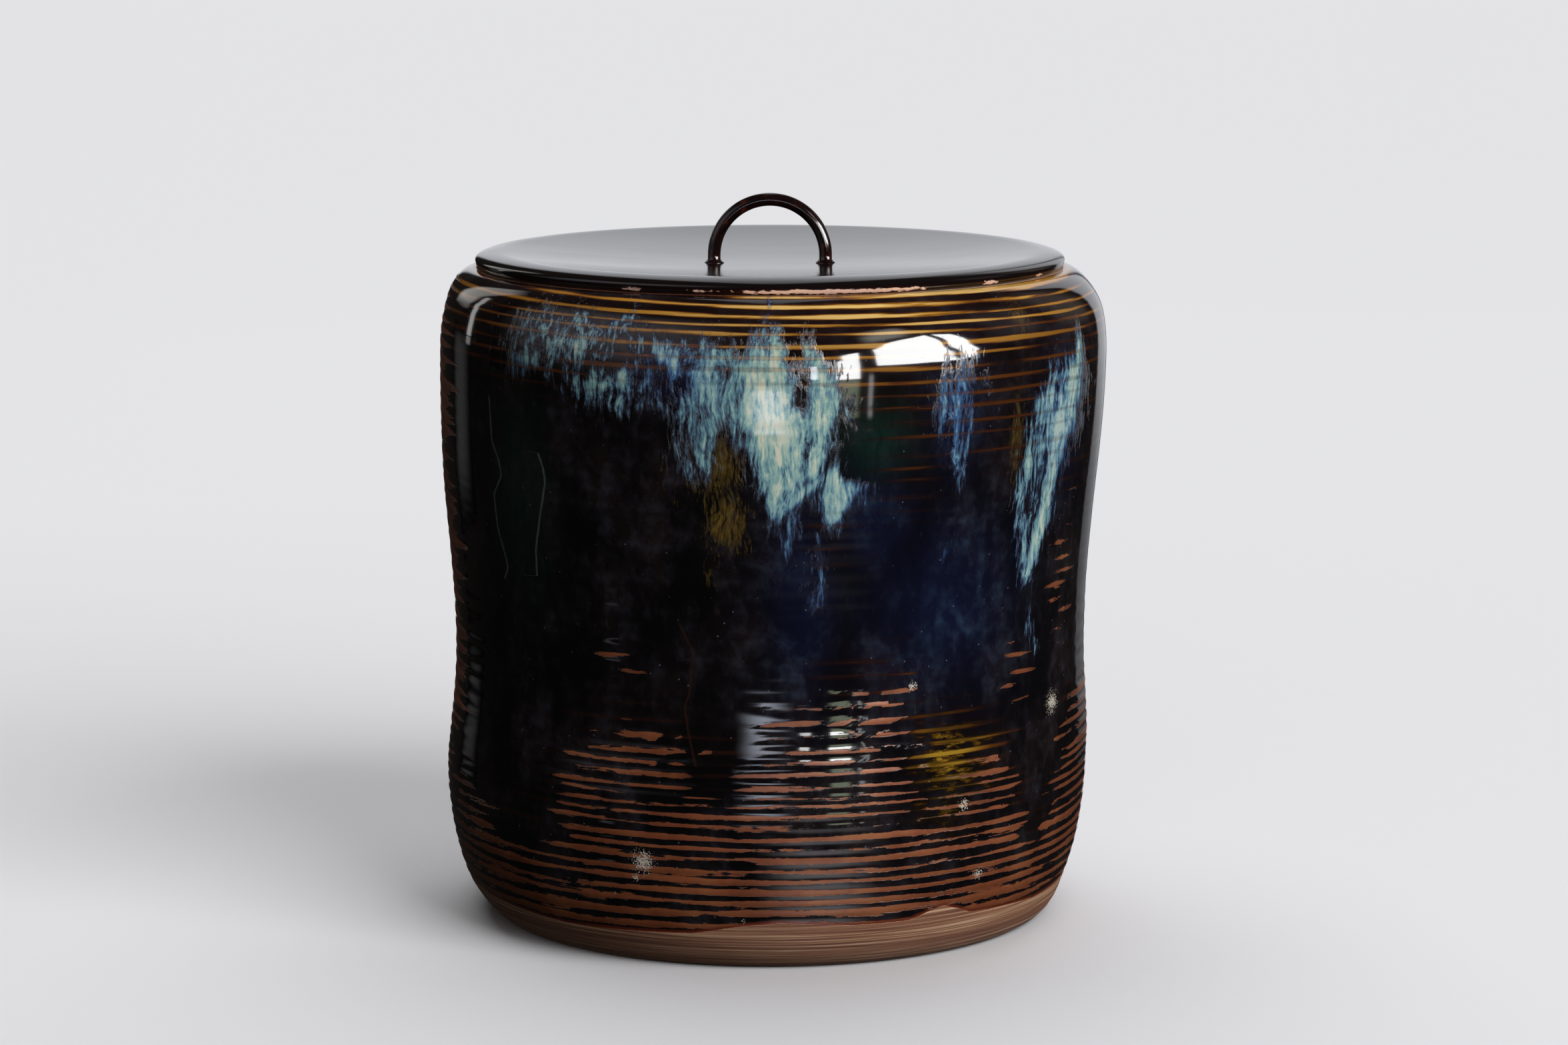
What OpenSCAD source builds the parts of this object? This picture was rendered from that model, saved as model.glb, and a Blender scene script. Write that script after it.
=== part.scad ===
// Water jar for the tea room: a thrown stoneware jar with a combed wall,
// and a scooped wooden lid with a bent loop handle.
// Millimetres, +Z up, origin at the centre of the jar's base.

/* [Jar outline] */
// Outer radius of the foot where it meets the table
foot_r = 72.5; // [66:0.5:76]
// Outer radius of the belly, the low swelling
belly_r = 87.2; // [80:0.1:92]
// Outer radius of the waist
waist_r = 85.6; // [78:0.1:92]
// Outer radius of the shoulder, the widest ring
shoulder_r = 90; // [86:0.5:100]
// Height of the belly above the base
belly_h = 41; // [34:0.5:50]
// Rise from the belly to the waist
waist_rise = 33; // [24:0.5:45]
// Rise from the waist to the shoulder
shoulder_rise = 78; // [60:0.5:95]
// Rise from the shoulder to the rim
rim_rise = 23.5; // [18:0.5:30]
// How square the turn into the foot is: 2 is an ellipse
foot_turn = 1.9; // [1.6:0.1:2.6]
// How square the turn into the mouth is: 2 is an ellipse
mouth_turn = 2.3; // [1.8:0.1:2.8]

/* [Jar wall] */
// Wall thickness
wall = 6.5; // [4.5:0.1:8]
// Height of the inner floor above the table
floor_h = 9; // [7:0.5:14]
// Radius of the mouth
mouth_r = 73.5; // [68:0.5:75]
// Width of the flat rim that carries the lid
rim_w = 4.5; // [3:0.1:6]
// Depth of the straight mouth below the rim
mouth_h = 4; // [3:0.1:6]
// Radius that softens the rim's inner edge
rim_round = 0.8; // [0.4:0.1:1.5]
// Width of the ring that the jar stands on
foot_ring_w = 9; // [6:0.5:14]
// Depth of the turned hollow under the base
foot_hollow = 2; // [1:0.1:3]
// Slope width between the foot ring and the hollow
foot_slope = 1.5; // [0.5:0.1:3]

/* [Combed rings] */
// Height of the lowest ring, above the bare clay band
comb_start = 14; // [8:0.5:24]
// Distance from ring to ring
comb_pitch = 3.6; // [3:0.1:5]
// Depth of the groove between two rings
comb_depth = 0.45; // [0.1:0.05:0.8]
// Plain height left under the rim
comb_stop = 3; // [2:0.5:8]

/* [Lid] */
// How far the lid reaches past the rim
lid_overhang = 1.3; // [0.5:0.1:3]
// Thickness of the lid's edge
lid_edge = 4.2; // [3:0.1:6]
// Depth of the scoop in the middle of the lid
lid_scoop = 3.8; // [2:0.1:5]
// Thickness of the lid in the middle
lid_t = 4; // [3.5:0.1:6]
// Width of the rolled edge, from its crest to its nose
edge_roll = 2; // [1:0.1:3]
// Width of the rolled edge below its nose
edge_tuck = 1.3; // [0.5:0.1:2]
// Radial play of the locating ring in the mouth
ring_play = 1.5; // [0.5:0.1:2.5]
// Thickness of the locating ring
ring_t = 3; // [2:0.1:5]
// Depth of the locating ring below the lid
ring_h = 7.5; // [4:0.5:12]
// Rounding of the locating ring's lower edges
ring_round = 0.8; // [0.3:0.1:0.9]

/* [Handle] */
// Distance between the middles of the two legs
handle_span = 30; // [24:0.5:40]
// Diameter of the bent rod
rod_d = 3.5; // [3:0.1:6]
// Straight length of a leg below the arch
leg_h = 2.25; // [1.5:0.25:10]
// Flare of each leg where it stands on the lid
flare = 0.9; // [0.4:0.1:1.5]
// Height of that flare
flare_h = 1.1; // [0.6:0.1:1.4]
// Diameter of the tenon that goes into the lid
tenon_d = 2.4; // [1.6:0.1:2.8]
// Glue gap around a tenon
glue_gap = 0.05; // [0.02:0.01:0.1]
// How far a tenon stops short of the lid's underside
tenon_short = 0.3; // [0.1:0.1:1]
// Depth of the flat that each leg stands on
seat_cut = 0.08; // [0.02:0.02:0.2]

/* [Hidden] */

ROUND_FACES = 96;
ROD_FACES = 48;
TURN_STEPS = 10;
WALL_STEPS = 12;
COMB_STEPS = 3;
SCOOP_STEPS = 12;
ROLL_STEPS = 6;
OVERCUT = 1;

waist_z = belly_h + waist_rise;
shoulder_z = waist_z + shoulder_rise;
rim_z = shoulder_z + rim_rise;
lip_r = mouth_r + rim_w;

comb_count = floor((rim_z - comb_stop - comb_start) / comb_pitch);
comb_end = comb_start + comb_count * comb_pitch;

lid_r = lip_r + lid_overhang;
crest_r = lid_r - edge_roll;
crest_z = rim_z + lid_edge;
scoop_z = crest_z - lid_scoop;
nose_z = rim_z + lid_edge / 2;
ring_r = mouth_r - ring_play;
ring_inner_r = ring_r - ring_t;
bulge = max(0, rim_z - (scoop_z - lid_t));

leg_x = handle_span / 2;
seat_z = lid_top(leg_x - rod_d / 2 - flare) - seat_cut;
tenon_end_z = lid_under(leg_x) + tenon_short;
arch_z = seat_z + leg_h;

// A quarter turn that is an ellipse at power 2 and squarer above it:
// the share across and the share along at the angle a.
function turn_across(a, power) = pow(sin(a), 2 / power);
function turn_along(a, power) = pow(cos(a), 2 / power);

// The same quarter turn as a height of 0 to 1 gives its share across.
function turn_at(share, power) = pow(max(0, 1 - pow(share, power)), 1 / power);

// A soft S from 0 to 1.
function ease(share) = (1 - cos(180 * share)) / 2;

// The jar's outer radius at a height, before combing.
function wall_r(z) =
    z <= belly_h ? foot_r + (belly_r - foot_r) * turn_at(1 - z / belly_h, foot_turn)
    : z <= waist_z ? belly_r + (waist_r - belly_r) * ease((z - belly_h) / waist_rise)
    : z <= shoulder_z ? waist_r + (shoulder_r - waist_r) * ease((z - waist_z) / shoulder_rise)
    : lip_r + (shoulder_r - lip_r) * turn_at((z - shoulder_z) / rim_rise, mouth_turn);

// Depth of the combing at a step: nothing on the crest of a ring, a flat groove between two.
function groove(step) = step % COMB_STEPS == 0 ? 0 : comb_depth;

// Heights of the lid's scooped top and of its underside at a radius.
function lid_top(r) = scoop_z + lid_scoop * pow(r / crest_r, 2);
function lid_under(r) = r >= ring_inner_r ? rim_z : rim_z - bulge * (1 - pow(r / ring_inner_r, 2));

// The outside from the foot up to the rim.
function outside() = concat(
    [for (i = [0 : TURN_STEPS])
        let (a = 90 * i / TURN_STEPS,
             z = belly_h * (1 - turn_along(a, foot_turn)))
        if (z < comb_start)
            [foot_r + (belly_r - foot_r) * turn_across(a, foot_turn), z]],
    [for (i = [0 : comb_count * COMB_STEPS])
        let (z = comb_start + i * comb_pitch / COMB_STEPS)
        [wall_r(z) - groove(i), z]],
    [for (i = [0 : TURN_STEPS])
        let (a = 90 * i / TURN_STEPS,
             z = shoulder_z + rim_rise * turn_across(a, mouth_turn))
        if (z > comb_end)
            [lip_r + (shoulder_r - lip_r) * turn_along(a, mouth_turn), z]]
);

// The rim's softened inner edge and the straight mouth.
function mouth_edge() = concat(
    [for (i = [0 : ROLL_STEPS])
        let (a = 90 * i / ROLL_STEPS)
        [mouth_r + rim_round * (1 - sin(a)), rim_z - rim_round * (1 - cos(a))]],
    [[mouth_r, rim_z - mouth_h]]
);

// The inside from the mouth down to the floor.
function inside() = concat(
    [for (i = [TURN_STEPS - 1 : -1 : 1])
        let (a = 90 * i / TURN_STEPS)
        [mouth_r + (shoulder_r - wall - mouth_r) * turn_along(a, mouth_turn),
         shoulder_z + (rim_rise - mouth_h) * turn_across(a, mouth_turn)]],
    [for (i = [WALL_STEPS : -1 : 0])
        let (z = belly_h + (shoulder_z - belly_h) * i / WALL_STEPS)
        [wall_r(z) - wall, z]],
    [for (i = [TURN_STEPS - 1 : -1 : 0])
        let (a = 90 * i / TURN_STEPS)
        [foot_r - wall + (belly_r - foot_r) * turn_across(a, foot_turn),
         belly_h - (belly_h - floor_h) * turn_along(a, foot_turn)]],
    [[0, floor_h]]
);

// The turned hollow under the base.
function base() = [
    [0, foot_hollow],
    [foot_r - foot_ring_w - foot_slope, foot_hollow],
    [foot_r - foot_ring_w, 0]
];

// Stoneware jar, thrown and combed in one piece.
module jar_body() {
    color("#2a1a14")
        rotate_extrude($fn = ROUND_FACES)
            polygon(concat(base(), outside(), mouth_edge(), inside()));
}

// One hole through the lid, with the flat that a leg stands on.
module leg_socket(x) {
    translate([x, 0, lid_under(0) - OVERCUT])
        cylinder(d = tenon_d + 2 * glue_gap, h = lid_t + lid_scoop + 2 * OVERCUT, $fn = ROD_FACES);
    translate([x, 0, seat_z])
        cylinder(r = rod_d / 2 + flare + glue_gap, h = lid_scoop + OVERCUT, $fn = ROD_FACES);
}

// Turned lid: scooped on top, with a rolled edge, a flat seat and a shallow belly below.
module lid_plate() {
    top = [for (i = [0 : SCOOP_STEPS])
        let (r = crest_r * i / SCOOP_STEPS)
        [r, lid_top(r)]];
    roll = [for (i = [1 : ROLL_STEPS])
        let (a = 90 * i / ROLL_STEPS)
        [crest_r + edge_roll * sin(a), nose_z + (crest_z - nose_z) * cos(a)]];
    tuck = [for (i = [1 : ROLL_STEPS])
        let (a = 90 * i / ROLL_STEPS)
        [lid_r - edge_tuck * (1 - cos(a)), nose_z - (nose_z - rim_z) * sin(a)]];
    under = [for (i = [SCOOP_STEPS : -1 : 0])
        let (r = ring_inner_r * i / SCOOP_STEPS)
        [r, lid_under(r)]];
    color("#1a1112")
        difference() {
            rotate_extrude($fn = ROUND_FACES)
                polygon(concat(top, roll, tuck, under));
            for (side = [-1, 1])
                leg_socket(side * leg_x);
        }
}

// Hoop glued under the lid, which keeps it over the mouth.
module lid_locating_ring() {
    low = rim_z - ring_h;
    rounded = [for (side = [1, 0], i = [0 : ROLL_STEPS])
        let (a = side * 90 - 90 * i / ROLL_STEPS,
             corner = side == 1 ? ring_inner_r + ring_round : ring_r - ring_round)
        [corner - ring_round * sin(a), low + ring_round * (1 - cos(a))]];
    color("#1a1112")
        rotate_extrude($fn = ROUND_FACES)
            polygon(concat([[ring_r, rim_z], [ring_inner_r, rim_z]], rounded));
}

// One leg with its flared foot and its tenon.
module handle_leg(x) {
    translate([x, 0, tenon_end_z])
        cylinder(d = tenon_d, h = arch_z - tenon_end_z, $fn = ROD_FACES);
    translate([x, 0, seat_z])
        cylinder(d = rod_d, h = leg_h, $fn = ROD_FACES);
    translate([x, 0, seat_z])
        cylinder(r1 = rod_d / 2 + flare, r2 = rod_d / 2, h = flare_h, $fn = ROD_FACES);
}

// Bent loop that the lid is lifted by.
module lid_handle() {
    color("#2b1513") {
        translate([0, 0, arch_z])
            rotate([90, 0, 0])
                rotate_extrude(angle = 180, $fn = ROUND_FACES)
                    translate([leg_x, 0])
                        circle(d = rod_d, $fn = ROD_FACES);
        for (side = [-1, 1])
            handle_leg(side * leg_x);
    }
}

jar_body();
lid_plate();
lid_locating_ring();
lid_handle();
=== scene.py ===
# %% [markdown]
# # A lidded water jar: combed stoneware under a run glaze
# The jar is one thrown pot with combed rings, dipped in an iron glaze that ran in the kiln, and it is
# closed by a scooped wooden lid in black lacquer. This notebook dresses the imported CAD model: every
# CAD solid is replaced by a finer mesh in the same place, and each mesh gets a procedural material.

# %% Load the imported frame
import math

import bmesh
import bpy
import numpy as np
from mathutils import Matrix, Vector, noise


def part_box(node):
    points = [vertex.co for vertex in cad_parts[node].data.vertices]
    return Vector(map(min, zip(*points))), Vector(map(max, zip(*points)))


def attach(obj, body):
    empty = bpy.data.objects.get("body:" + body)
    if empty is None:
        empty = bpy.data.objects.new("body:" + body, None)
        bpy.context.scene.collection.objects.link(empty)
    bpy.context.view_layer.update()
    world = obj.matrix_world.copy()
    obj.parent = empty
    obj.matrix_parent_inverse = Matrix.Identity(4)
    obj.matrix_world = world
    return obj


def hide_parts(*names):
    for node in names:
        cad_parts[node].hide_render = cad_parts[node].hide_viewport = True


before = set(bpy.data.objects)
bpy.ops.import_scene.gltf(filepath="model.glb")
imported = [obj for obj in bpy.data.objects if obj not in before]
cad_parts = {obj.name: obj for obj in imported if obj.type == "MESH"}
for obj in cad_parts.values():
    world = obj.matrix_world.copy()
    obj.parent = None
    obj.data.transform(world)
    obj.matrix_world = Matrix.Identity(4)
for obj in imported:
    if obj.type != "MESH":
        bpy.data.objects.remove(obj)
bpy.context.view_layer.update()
MM = 0.001
bpy.context.scene.view_settings.view_transform = "Standard"

# %% [markdown]
# ## Small tools
# Shader sockets take linear light, but colours are easiest to choose as sRGB hex, so one function
# turns the one into the other. A second adds a shader node with its settings and its links, which
# keeps a material readable as a list of steps. A turned piece is an outline that is spun about Z.

# %% Colour and node helpers


def linear(hex_colour):
    """An sRGB hex colour as the linear RGBA that a shader socket takes."""
    shares = [int(hex_colour[i : i + 2], 16) / 255 for i in (1, 3, 5)]
    return [c / 12.92 if c <= 0.04045 else ((c + 0.055) / 1.055) ** 2.4 for c in shares] + [1.0]


def new_material(name, settings):
    """A material, its node tree and its shader, whose inputs are set by name."""
    material = bpy.data.materials.new(name)
    material.use_nodes = True
    shader = material.node_tree.nodes["Principled BSDF"]
    for socket, value in settings.items():
        shader.inputs[socket].default_value = value
    return material, material.node_tree, shader


def add_node(tree, kind, links=None, stops=None, **settings):
    """Adds a shader node, applies its settings, and links or sets its inputs."""
    node = tree.nodes.new(kind)
    for name, value in settings.items():
        setattr(node, name, value)
    for socket, value in (links or {}).items():
        if isinstance(value, bpy.types.NodeSocket):
            tree.links.new(value, node.inputs[socket])
        else:
            node.inputs[socket].default_value = value
    for i, (place, colour) in enumerate(stops or []):
        ramp = node.color_ramp.elements
        stop = ramp[i] if i < 2 else ramp.new(place)
        stop.position = place
        stop.color = linear(colour)
    return node


def per_metre(*sizes_mm):
    """The Mapping scale at which one unit of a pattern is that many millimetres long."""
    return [1 / (size * MM) for size in sizes_mm]


# %% Mesh helpers
MERGE_MM = 0.001


def ease(share):
    """A soft S from 0 to 1."""
    return (1 - np.cos(np.pi * np.clip(share, 0, 1))) / 2


def add_mesh(name, bm, material, smooth=True):
    """Makes a bmesh an object of the scene."""
    mesh = bpy.data.meshes.new(name)
    bm.to_mesh(mesh)
    bm.free()
    mesh.polygons.foreach_set("use_smooth", [smooth] * len(mesh.polygons))
    mesh.materials.append(material)
    made = bpy.data.objects.new(name, mesh)
    bpy.context.scene.collection.objects.link(made)
    return made


def add_layer(made, name, values):
    """Keeps one value for each vertex as an attribute that a material can read."""
    layer = made.data.attributes.new(name, "FLOAT", "POINT")
    layer.data.foreach_set("value", np.asarray(values, np.float32))


def surface_points(made):
    """The vertices in mm, with their azimuths in degrees and their radii in mm."""
    points = np.empty(len(made.data.vertices) * 3)
    made.data.vertices.foreach_get("co", points)
    points = points.reshape(-1, 3) / MM
    azimuth = np.degrees(np.arctan2(points[:, 0], -points[:, 1]))
    return points, azimuth, np.hypot(points[:, 0], points[:, 1])


def add_piece(name, bm, material, body, node):
    """Makes a bmesh a piece of the jar that rides on a body and stands for a CAD node."""
    piece = add_mesh(name, bm, material)
    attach(piece, body)
    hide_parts(node)
    print(name, "vertices:", len(piece.data.vertices), "faces:", len(piece.data.polygons))
    return piece


def spin_outline(outline, steps, closed=False):
    """A bmesh turned about Z from an outline of (radius, height) points in mm."""
    bm = bmesh.new()
    verts = [bm.verts.new((r * MM, 0, z * MM)) for r, z in outline]
    ends = verts[1:] + verts[:1] if closed else verts[1:]
    edges = [bm.edges.new(pair) for pair in zip(verts, ends)]
    bmesh.ops.spin(bm, geom=verts + edges, cent=(0, 0, 0), axis=(0, 0, 1),
                   angle=2 * math.pi, steps=steps, use_merge=True)
    bmesh.ops.remove_doubles(bm, verts=bm.verts, dist=MERGE_MM * MM)
    bmesh.ops.recalc_face_normals(bm, faces=bm.faces)
    return bm


# %% [markdown]
# ## The camera
# A longish lens stands a little above the lid and looks down by nine degrees, so the lid shows as a
# thin ellipse and the foot as a deeper one. The focal length is written for a sensor 36 mm wide.

# %% Camera
CAMERA_PLACE = Vector((3.8, -1200, 295.2)) * MM
CAMERA_DOWN = math.radians(9)
FOCAL_MM = 102.55
SENSOR_MM = 36

lens = bpy.data.cameras.new("camera")
lens.lens = FOCAL_MM
lens.sensor_width = SENSOR_MM
lens.sensor_fit = "HORIZONTAL"
camera = bpy.data.objects.new("camera", lens)
camera.location = CAMERA_PLACE
camera.rotation_euler = (math.pi / 2 - CAMERA_DOWN, 0, 0)
bpy.context.scene.collection.objects.link(camera)
bpy.context.scene.camera = camera
print("camera at", tuple(round(v, 4) for v in CAMERA_PLACE))

# %% [markdown]
# ## The studio
# A pale sweep is floor and backdrop in one: a strip that runs level and then curves up behind the
# jar, so no horizon shows. A dark glossy pot looks like what it mirrors, and a photographer would
# keep pale surfaces away from it and set up a few bright cards. So the sweep is kept out of
# reflections and out of bounced light, and the cards are seen in reflections alone.

# %% Sweep
SWEEP_HALF_WIDTH = 4000
SWEEP_FRONT = -4000
SWEEP_BEND_START = 1300
SWEEP_BEND_R = 500
SWEEP_TOP = 1100
BEND_STEPS = 16

# The paper is lit near the jar and glows evenly further off: behind the jar, and all round it
BEHIND_START = 160
BEHIND_END = 760
AROUND_START = 500
AROUND_END = 1100

# Matt paper scatters all light, so it gives the eye one even tone. Its glow is for the camera alone
paper, tree, shader = new_material("matt_pale_paper", {
    "Roughness": 0.95, "Specular IOR Level": 0.1, "Emission Color": linear("#e3e3e5")})
place = add_node(tree, "ShaderNodeTexCoord").outputs["Object"]
depth = add_node(tree, "ShaderNodeSeparateXYZ", {0: place}).outputs["Y"]
behind = add_node(tree, "ShaderNodeMapRange", {
    "Value": depth, "From Min": BEHIND_START * MM, "From Max": BEHIND_END * MM},
    interpolation_type="SMOOTHSTEP").outputs[0]
reach = add_node(tree, "ShaderNodeVectorMath", {0: place}, operation="LENGTH").outputs["Value"]
around = add_node(tree, "ShaderNodeMapRange", {
    "Value": reach, "From Min": AROUND_START * MM, "From Max": AROUND_END * MM},
    interpolation_type="SMOOTHSTEP").outputs[0]
far = add_node(tree, "ShaderNodeMath", {0: behind, 1: around}, operation="MAXIMUM").outputs[0]
tone = add_node(tree, "ShaderNodeMix", {"Factor": far, 6: linear("#e2e2e5"), 7: linear("#000000")},
                data_type="RGBA").outputs[2]
seen = add_node(tree, "ShaderNodeLightPath").outputs["Is Camera Ray"]
glow = add_node(tree, "ShaderNodeMath", {0: far, 1: seen}, operation="MULTIPLY").outputs[0]
tree.links.new(tone, shader.inputs["Base Color"])
tree.links.new(glow, shader.inputs["Emission Strength"])

sweep_outline = [(SWEEP_FRONT, 0)]
for i in range(BEND_STEPS + 1):
    turn = math.pi / 2 * i / BEND_STEPS
    y = SWEEP_BEND_START + SWEEP_BEND_R * math.sin(turn)
    sweep_outline.append((y, SWEEP_BEND_R * (1 - math.cos(turn))))
sweep_outline.append((SWEEP_BEND_START + SWEEP_BEND_R, SWEEP_TOP))

bm = bmesh.new()
row = [bm.verts.new((-SWEEP_HALF_WIDTH * MM, y * MM, z * MM)) for y, z in sweep_outline]
edges = [bm.edges.new(pair) for pair in zip(row, row[1:])]
strip = bmesh.ops.extrude_edge_only(bm, edges=edges)
moved = [v for v in strip["geom"] if isinstance(v, bmesh.types.BMVert)]
bmesh.ops.translate(bm, verts=moved, vec=(2 * SWEEP_HALF_WIDTH * MM, 0, 0))
bmesh.ops.recalc_face_normals(bm, faces=bm.faces)
sweep = add_mesh("sweep", bm, paper)
sweep.visible_glossy = False
sweep.visible_diffuse = False
print("sweep runs from", SWEEP_FRONT, "to", SWEEP_BEND_START + SWEEP_BEND_R, "mm")

# %% Lamps for the diffuse light
LIT_POINT = Vector((0, 0, 100)) * MM


def heading(azimuth, elevation):
    """The direction away from the jar. Azimuth 0 is the camera's side, and positive is to the right."""
    a, e = math.radians(azimuth), math.radians(elevation)
    return Vector((math.sin(a) * math.cos(e), -math.cos(a) * math.cos(e), math.sin(e)))


def add_fill(name, azimuth, elevation, distance, size, radiance):
    """A soft square lamp aimed at the jar that lights colours and stays out of the gloss."""
    lamp = bpy.data.lights.new(name, "AREA")
    lamp.size = size * MM
    lamp.energy = radiance * math.pi * lamp.size**2
    fill = bpy.data.objects.new(name, lamp)
    fill.location = LIT_POINT + heading(azimuth, elevation) * distance * MM
    fill.rotation_euler = (-heading(azimuth, elevation)).to_track_quat("-Z", "Y").to_euler()
    fill.visible_camera = False
    fill.visible_glossy = False
    bpy.context.scene.collection.objects.link(fill)


# Name, azimuth, elevation, distance, size and radiance
add_fill("key_fill", 42, 33, 4400, 3000, 6.2)
add_fill("front_fill", 5, 25, 2600, 1800, 0.8)
add_fill("back_fill", 180, 62, 2600, 3000, 2.0)

world = bpy.data.worlds.new("dim_world")
world.use_nodes = True
ambient = world.node_tree.nodes["Background"]
ambient.inputs["Color"].default_value = linear("#6b6460")
ambient.inputs["Strength"].default_value = 0.1
bpy.context.scene.world = world

# %% Cards that the gloss mirrors
CARD_DISTANCE = 1700
CARD_CELLS = 12
# A card this bright would turn the flat lid white in some views, so the lid is kept from mirroring it
STRONG_RADIANCE = 4
strong_card_takers = bpy.data.collections.new("strong_card_takers")
# Radiance, colour, shares of its width and height over which a card fades out at the edges, and its
# corners as (azimuth, elevation) seen from the jar, from the lower left round to the upper left
CARDS = {
    "wide_softbox": (24, "#ffffff", 0, 0, ((34, 6.5), (64, 6.5), (55, 28), (33.5, 19))),
    "side_softbox": (24, "#ffffff", 0, 0, ((66, 6.5), (73, 9), (65, 26), (58, 28))),
    "tall_softbox": (24, "#ffffff", 0, 0, ((21, 1), (28, 1), (28, 16), (21, 12))),
    "small_softbox": (14, "#ffffff", 0, 0, ((10, 1), (13.5, 1), (13.5, 7), (10, 7))),
    "upper_card": (4, "#f0ebe2", 0.3, 0.4, ((29, 18), (54, 29), (48, 40), (28, 32))),
    "green_card": (4, "#d6e6c4", 0.2, 0.15, ((20.5, -7.4), (28.5, -7.4), (28.5, 1), (20.5, 1))),
    "thin_strip": (4, "#ffffff", 0, 0.2, ((31, -8), (32.5, -8), (32.5, 5), (31, 5))),
    "front_card": (8, "#cfd6e6", 0.5, 0.35, ((-12, -9.4), (9, -9.4), (9, -1), (-12, -1))),
    "left_strip": (0.12, "#ffffff", 0.4, 0.3, ((-141, -12), (-124, -12), (-124, 3), (-141, 3))),
    "left_sliver": (2, "#ffffff", 0.2, 0.1, ((-128, 0), (-124, 0), (-124, 24), (-128, 24))),
    "left_card": (1.3, "#f4f0ea", 0.15, 0.15, ((-147, 5), (-131, 8), (-126, 41), (-147, 41))),
    "left_haze": (0.9, "#e6e2ea", 0.35, 0.4, ((-110, -4), (-8, -4), (-8, 52), (-110, 56))),
    "dim_card": (0.7, "#d8d2e0", 0.3, 0.3, ((-61, -22), (-54, -22), (-54, -18.4), (-61, -18.4))),
    "right_glow": (0.35, "#d8d2d6", 0.3, 0.3, ((76, 6), (110, 6), (110, 46), (76, 46))),
    "right_card": (0.4, "#cdbfae", 0.4, 0.3, ((112, 0), (146, 0), (146, 46), (112, 46))),
    "floor_card": (2, "#ece6ea", 0.4, 0.4, ((-4, -56), (44, -56), (44, -18), (-4, -18))),
    "right_rim_card": (0.95, "#eef0f6", 0.1, 0.2, ((146, -14), (166, -14), (166, 44), (146, 44))),
    "back_card": (0.95, "#eef0f6", 0.1, 0.1, ((166, -20), (194, -20), (194, 84), (166, 84))),
}


def fade_in(share, length):
    """Rises from 0 at both edges of a card to 1 within a length. Without a length it is 1 throughout."""
    return ease(min(share, 1 - share) / length) if length else 1.0


def add_card(name, radiance, colour, fade_across, fade_up, corners):
    """A glowing card that only reflections show."""
    glow, tree, shader = new_material(f"glowing_{name}", {
        "Base Color": linear("#000000"), "Emission Color": linear(colour)})
    share = add_node(tree, "ShaderNodeAttribute", attribute_name="share").outputs["Fac"]
    strength = add_node(tree, "ShaderNodeMath", {0: share, 1: radiance}, operation="MULTIPLY").outputs[0]
    tree.links.new(strength, shader.inputs["Emission Strength"])
    bm = bmesh.new()
    bmesh.ops.create_grid(bm, x_segments=CARD_CELLS, y_segments=CARD_CELLS, size=0.5)
    shares = []
    for v in bm.verts:
        u, w = v.co.x + 0.5, v.co.y + 0.5
        low, high = (Vector(a).lerp(Vector(b), u) for a, b in (corners[:2], corners[:1:-1]))
        v.co = LIT_POINT + heading(*low.lerp(high, w)) * CARD_DISTANCE * MM
        shares.append(fade_in(u, fade_across) * fade_in(w, fade_up))
    card = add_mesh(name, bm, glow, smooth=False)
    add_layer(card, "share", shares)
    card.visible_camera = False
    card.visible_diffuse = False
    card.visible_transmission = False
    card.visible_shadow = False
    if radiance >= STRONG_RADIANCE:
        card.light_linking.receiver_collection = strong_card_takers


for name, facts in CARDS.items():
    add_card(name, *facts)
print("cards:", len(CARDS))

# %% [markdown]
# ## The jar's outline
# A thrown pot is a turned form, so its outline is a few quarter turns and soft S curves, spun about
# Z. The rim's height and the shoulder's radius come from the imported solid, and the rest are the
# same shape values that the solid was drawn with.

# %% Jar outline
_, jar_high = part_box("jar_body")
RIM_Z = jar_high.z / MM
SHOULDER_R = jar_high.x / MM
FOOT_R = 72.5
BELLY_R = 87.2
WAIST_R = 85.6
LIP_R = 78.0
MOUTH_R = 73.5
BELLY_Z = 41.0
WAIST_Z = 74.0
SHOULDER_Z = 152.0
FOOT_POWER = 1.9
LIP_POWER = 2.3
WALL_T = 6.5
FLOOR_Z = 9.0
MOUTH_DEPTH = 4.0
RIM_ROUND = 0.8
BASE_RING_W = 9.0
BASE_HOLLOW = 2.0
BASE_SLOPE = 1.5


def turn_at(share, power):
    """A quarter turn, squarer than an ellipse above power 2: the share across at a share along."""
    return (1 - np.clip(share, 0, 1) ** power) ** (1 / power)


def wall_radius(z):
    """The jar's outer radius at a height, in mm."""
    z = np.asarray(z, float)
    foot = FOOT_R + (BELLY_R - FOOT_R) * turn_at(1 - z / BELLY_Z, FOOT_POWER)
    belly = BELLY_R + (WAIST_R - BELLY_R) * ease((z - BELLY_Z) / (WAIST_Z - BELLY_Z))
    chest = WAIST_R + (SHOULDER_R - WAIST_R) * ease((z - WAIST_Z) / (SHOULDER_Z - WAIST_Z))
    lip = LIP_R + (SHOULDER_R - LIP_R) * turn_at((z - SHOULDER_Z) / (RIM_Z - SHOULDER_Z), LIP_POWER)
    return np.select([z <= BELLY_Z, z <= WAIST_Z, z <= SHOULDER_Z], [foot, belly, chest], lip)


# Rows of vertices are close where the rings are drained and wider above
FINE_FROM = 7.0
FINE_TO = 96.0
PLAIN_TO = 170.0
FINE_STEP = 0.7
PLAIN_STEP = 1.3
TURN_ROWS = 14
RIM_ROWS = 5
INSIDE_ROWS = 22
FLOOR_LOOPS_R = (45.0, 20.0, 0.0)
BASE_LOOP_R = 30.0

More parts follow.
